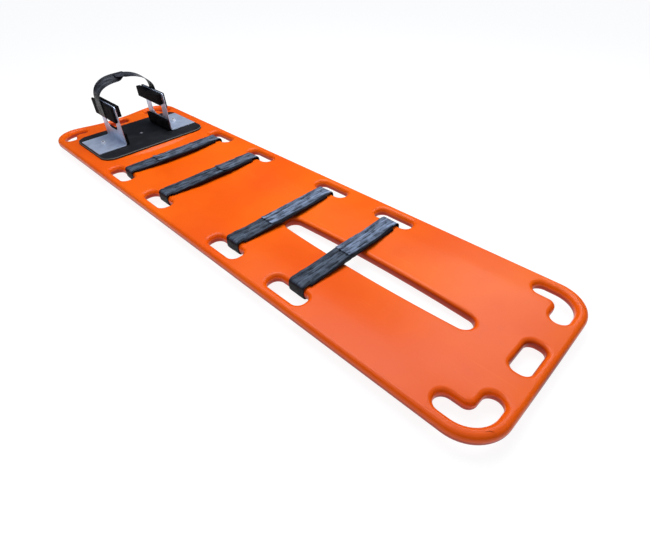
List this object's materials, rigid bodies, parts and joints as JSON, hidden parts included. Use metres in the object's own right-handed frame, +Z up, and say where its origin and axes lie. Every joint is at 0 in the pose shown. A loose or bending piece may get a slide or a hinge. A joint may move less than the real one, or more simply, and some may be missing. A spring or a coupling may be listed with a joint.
{
  "type": "spine board with head immobiliser",
  "caption": "Hollow moulded spine board with hand holes, a centre slot, hook-and-loop body belts and a sliding two-bracket head immobiliser.",
  "frame": {"origin": "on the floor plane under the middle of the board", "axes": "+Y along the board towards the head end, +X to the right seen from the foot end, +Z up"},
  "size_m": [0.485, 1.83, 0.2624],
  "materials": {
    "orange_shell": "satin",
    "cream_foam": "matte",
    "black_plate": "satin",
    "zinc_sheet": "satin",
    "zinc_fasteners": "satin",
    "black_foam": "matte",
    "black_webbing": "matte"
  },
  "bodies": {
    "board": {"board_shell": "orange_shell", "fill_plug": "orange_shell", "foam_core": "cream_foam", "base_plate": "black_plate", "plate_screw": "zinc_fasteners"},
    "head_bracket_left": {"bracket_left": "zinc_sheet", "clamp_bolt_left": "zinc_fasteners", "clamp_washer_left": "zinc_fasteners", "clamp_nut_left": "zinc_fasteners", "outer_pad_left": "black_foam", "inner_pad_left": "black_foam", "lower_pad_left": "black_foam", "forehead_strap_left": "black_webbing"},
    "head_bracket_right": {"bracket_right": "zinc_sheet", "clamp_bolt_right": "zinc_fasteners", "clamp_washer_right": "zinc_fasteners", "clamp_nut_right": "zinc_fasteners", "outer_pad_right": "black_foam", "inner_pad_right": "black_foam", "lower_pad_right": "black_foam", "forehead_strap_right": "black_webbing"},
    "shin_belt_set": {"shin_belt": "black_webbing", "shin_belt_fold": "black_webbing"},
    "thigh_belt_set": {"thigh_belt": "black_webbing", "thigh_belt_fold": "black_webbing"},
    "hip_belt_set": {"hip_belt": "black_webbing", "hip_belt_fold": "black_webbing"},
    "chest_belt_set": {"chest_belt": "black_webbing", "chest_belt_fold": "black_webbing"}
  },
  "joints": [
    {"name": "bracket_slide_left", "type": "slide", "parent": "board", "child": "head_bracket_left", "axis": [-1, 0, 0], "range_m": [-0.012, 0.012]},
    {"name": "bracket_slide_right", "type": "slide", "parent": "board", "child": "head_bracket_right", "axis": [1, 0, 0], "range_m": [-0.012, 0.012]},
    {"name": "shin_belt_slide", "type": "slide", "parent": "board", "child": "shin_belt_set", "axis": [0, 1, 0], "range_m": [-0.007, 0.023]},
    {"name": "thigh_belt_slide", "type": "slide", "parent": "board", "child": "thigh_belt_set", "axis": [0, 1, 0], "range_m": [-0.013, 0.017]},
    {"name": "hip_belt_slide", "type": "slide", "parent": "board", "child": "hip_belt_set", "axis": [0, 1, 0], "range_m": [-0.019, 0.011]},
    {"name": "chest_belt_slide", "type": "slide", "parent": "board", "child": "chest_belt_set", "axis": [0, 1, 0], "range_m": [-0.005, 0.025]}
  ]
}
